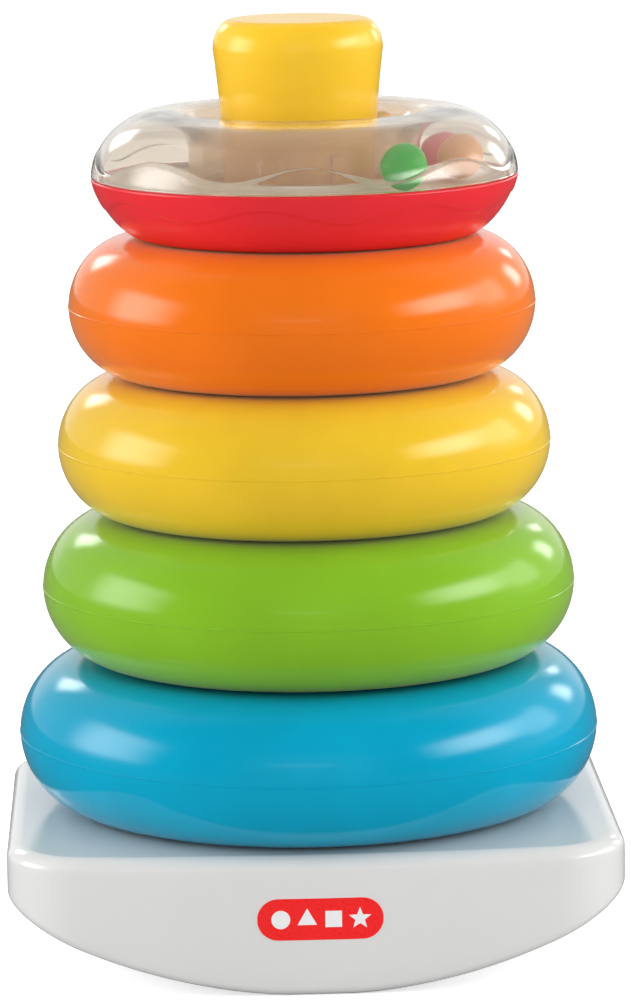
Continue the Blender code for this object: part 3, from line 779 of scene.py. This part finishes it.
def build_label(red, white, end_steps=12, span_steps=10):
    """A red pill-shaped nameplate with a white circle, triangle, square and star, and no lettering."""
    low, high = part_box("front_label")
    half_height = (high.z - low.z) / 2
    centre_z = (high.z + low.z) / 2
    end_x = high.x - half_height
    columns = [(-end_x - half_height * cosine, half_height * sine) for cosine, sine in arc(end_steps, start=1)]
    middle = [(-end_x + 2 * end_x * k / span_steps, half_height) for k in range(1, span_steps)]
    columns += middle + [(-x, tall) for x, tall in reversed(columns)]
    loops = []
    for x, tall in columns:
        near = front_y(x) - LABEL_PROUD
        far = front_y(x) + LABEL_BURIED
        top = centre_z + tall
        bottom = centre_z - tall
        loops.append([(x, near, bottom), (x, far, bottom), (x, far, top), (x, near, top)])
    shape = bmesh.new()
    loft(shape, loops)
    add_piece("nameplate", shape, red, "base", ["front_label"])

    shape = bmesh.new()
    for number, (corners, reach, turn) in enumerate(MARKS):
        middle_x = (number - 0.5 * (len(MARKS) - 1)) * MARK_PITCH
        outline = []
        for k in range(corners):
            angle = math.radians(turn) + FULL_TURN * k / corners
            r = reach * (STAR_WAIST if corners == STAR_CORNERS and k % 2 else 1)
            outline.append((middle_x + r * math.cos(angle), centre_z + r * math.sin(angle)))
        loft(shape, [[(x, front_y(x) - depth, z) for x, z in outline] for depth in (MARK_FOOT, MARK_PROUD)])
    add_piece("nameplate_shapes", shape, white, "base", [])


# ---------------------------------------------------------------- stage


def make_camera():
    """The photograph's view: a long lens from a little above the toy."""
    data = bpy.data.cameras.new("camera")
    data.lens = CAMERA_LENS
    data.sensor_width = 36
    data.clip_start = 0.01
    data.clip_end = 100
    camera = bpy.data.objects.new("camera", data)
    bpy.context.scene.collection.objects.link(camera)
    turn = Matrix.Rotation(CAMERA_YAW, 4, "Z")
    place = turn @ Vector((CAMERA_SIDE, -CAMERA_DISTANCE, CAMERA_HEIGHT))
    aim = turn @ Matrix.Rotation(QUARTER_TURN - CAMERA_PITCH, 4, "X") @ Matrix.Rotation(CAMERA_ROLL, 4, "Z")
    camera.matrix_world = Matrix.Translation(place) @ aim
    bpy.context.scene.camera = camera


def soften_lamp(data, core):
    """Fades an area lamp towards its edges; core is the share of each half side that stays full."""
    nodes = Nodes(data)
    across = nodes.add("NewGeometry").outputs["Parametric"]
    sides = nodes.add("SeparateXYZ", {"Vector": across}).outputs
    fades = []
    for side, share in enumerate(core):
        reach = nodes.math("ABSOLUTE", nodes.math("SUBTRACT", sides[side], 0.5))
        fades.append(nodes.smooth_ramp(reach, 0.5 * share, 0.5, 1.0, 0.0))
    nodes.feed(nodes.tree.nodes["Emission"].inputs["Strength"], nodes.math("MULTIPLY", *fades))


def aim_light(name, azimuth, elevation, distance, spread, radiance, seen, core):
    """A rectangular lamp aimed at the toy; LAMPS says what its values are."""
    a = math.radians(azimuth)
    e = math.radians(elevation)
    away = Vector((math.sin(a) * math.cos(e), -math.cos(a) * math.cos(e), math.sin(e)))
    data = bpy.data.lights.new(name, "AREA")
    data.shape = "RECTANGLE"
    data.size = 2 * distance * math.tan(math.radians(spread[0]))
    data.size_y = 2 * distance * math.tan(math.radians(spread[1]))
    data.energy = radiance * math.pi * data.size * data.size_y
    if min(core) < 1:
        soften_lamp(data, core)
    light = bpy.data.objects.new(name, data)
    bpy.context.scene.collection.objects.link(light)
    light.location = LAMP_TARGET + away * distance
    light.rotation_mode = "QUATERNION"
    light.rotation_quaternion = away.to_track_quat("Z", "Y")
    light.visible_camera = False
    light.visible_diffuse = seen == "diffuse"
    light.visible_glossy = seen == "glossy"
    light.visible_transmission = seen == "glossy"


def make_world():
    """A white studio: matt surfaces see an even glow, and reflections see it with a dim camera side."""
    world = bpy.data.worlds.new("studio")
    bpy.context.scene.world = world
    nodes = Nodes(world)
    place = nodes.add("TexCoord").outputs["Generated"]
    parts = nodes.add("SeparateXYZ", {"Vector": place}).outputs
    path = nodes.add("LightPath").outputs
    mirror = nodes.math("MAXIMUM", *[nodes.smooth_ramp(parts["Y"], *step) for step in MIRROR])
    through = nodes.smooth_ramp(parts["Y"], *THROUGH)
    strength = nodes.smooth_ramp(parts["Z"], *GLOW)
    for ray, seen in (("Is Glossy Ray", mirror), ("Transmission Depth", through), ("Is Camera Ray", 1.0)):
        strength = nodes.add("Mix", {"Factor": path[ray], "A": strength, "B": seen}).outputs["Result"]
    nodes.feed_all(nodes.tree.nodes["Background"], {"Color": (1, 1, 1, 1), "Strength": strength})


def make_floor():
    """A wide pale floor just under the keel; it looks brighter to the camera than the light it gives back."""
    nodes = MaterialNodes("studio_floor")
    cloud = nodes.ramp(nodes.noise(scale=3), low=0.3, high=0.7)
    finish = {
        "Base Color": nodes.mix(cloud, (0.80, 0.80, 0.80), (0.82, 0.82, 0.82)),
        "Roughness": 0.6,
        "Specular IOR Level": 0.0,
        "Emission Color": (1, 1, 1, 1),
        "Emission Strength": FLOOR_LIFT,
    }
    nodes.feed_all(nodes.shader, finish)
    path = nodes.add("LightPath").outputs
    bounced = nodes.mix(path["Is Glossy Ray"], (FLOOR_BOUNCE,) * 3, (FLOOR_MIRROR,) * 3)
    grey = nodes.add("BsdfDiffuse", {"Color": bounced})
    looked_at = nodes.math("MINIMUM", nodes.math("ADD", path["Is Camera Ray"], path["Transmission Depth"]), 1)
    nodes.show(nodes.either(looked_at, grey, nodes.shader))
    bpy.ops.mesh.primitive_circle_add(vertices=96, radius=FLOOR_R, fill_type="NGON")
    floor = bpy.context.object
    floor.name = "studio_floor"
    floor.location = (0, 0, cad_low.z - FLOOR_GAP)
    floor.data.materials.append(nodes.material)


# ---------------------------------------------------------------- assembly


make_camera()
make_world()
for lamp_name, lamp in LAMPS.items():
    aim_light(lamp_name, *lamp)
make_floor()

build_base(moulded("white_gloss", (0.725, 0.723, 0.712), 0.11, wave=0.03 * MM, variation=0.01, ior=1.54))
build_pan(moulded("white_satin", (0.82, 0.82, 0.81), 0.42, variation=0.01))
build_post(moulded("post_yellow_gloss", (0.925, 0.560, 0.024), 0.22))
for ring_node, ring_colour in RING_COLOURS.items():
    build_ring(ring_node, moulded(ring_node + "_gloss", ring_colour, 0.14, ior=1.38, sheen=RING_SHEEN[ring_node]))
build_trough(moulded("rattle_red_gloss", (0.785, 0.024, 0.034), 0.22, wave=0.03 * MM))
# Both clear tints are painted reflection of the yellow post and the grey room; the collar's darker, browner tint
# paints more of it, and its lower clarity and higher roughness are the rubbed haze.
polished = {"painted_reflection_tint": (0.82, 0.765, 0.69), "clarity": 0.96, "roughness": 0.01, "shadow": (0.88, 0.84, 0.79)}
rubbed_painted_reflection = {"painted_reflection_tint": (0.80, 0.67, 0.54), "clarity": 0.80, "roughness": 0.05, "shadow": (0.84, 0.77, 0.68)}
build_cover(clear_plastic("rattle_clear_polished", **polished), clear_plastic("rattle_clear_rubbed_painted_reflection", **rubbed_painted_reflection))
build_rattle_floor(moulded("rattle_track_plastic", (0.78, 0.74, 0.68), 0.35))
for bead_number, (bead_node, bead_colour) in enumerate(BEAD_COLOURS.items()):
    build_bead(bead_node, 0.4 + 0.7 * bead_number, moulded(bead_node + "_satin", bead_colour, 0.32))
build_label(
    moulded("label_red_film", (0.930, 0.014, 0.014), 0.28, wave=0.01 * MM, variation=0.02),
    moulded("label_white_ink", (0.86, 0.86, 0.86), 0.34, wave=0.01 * MM, variation=0.01),
)
screw_material = zinc("zinc_plate")
for screw_name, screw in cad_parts.items():
    if "screw" in screw_name:
        screw.data.materials.clear()
        screw.data.materials.append(screw_material)

scene = bpy.context.scene
scene.view_settings.view_transform = "Standard"
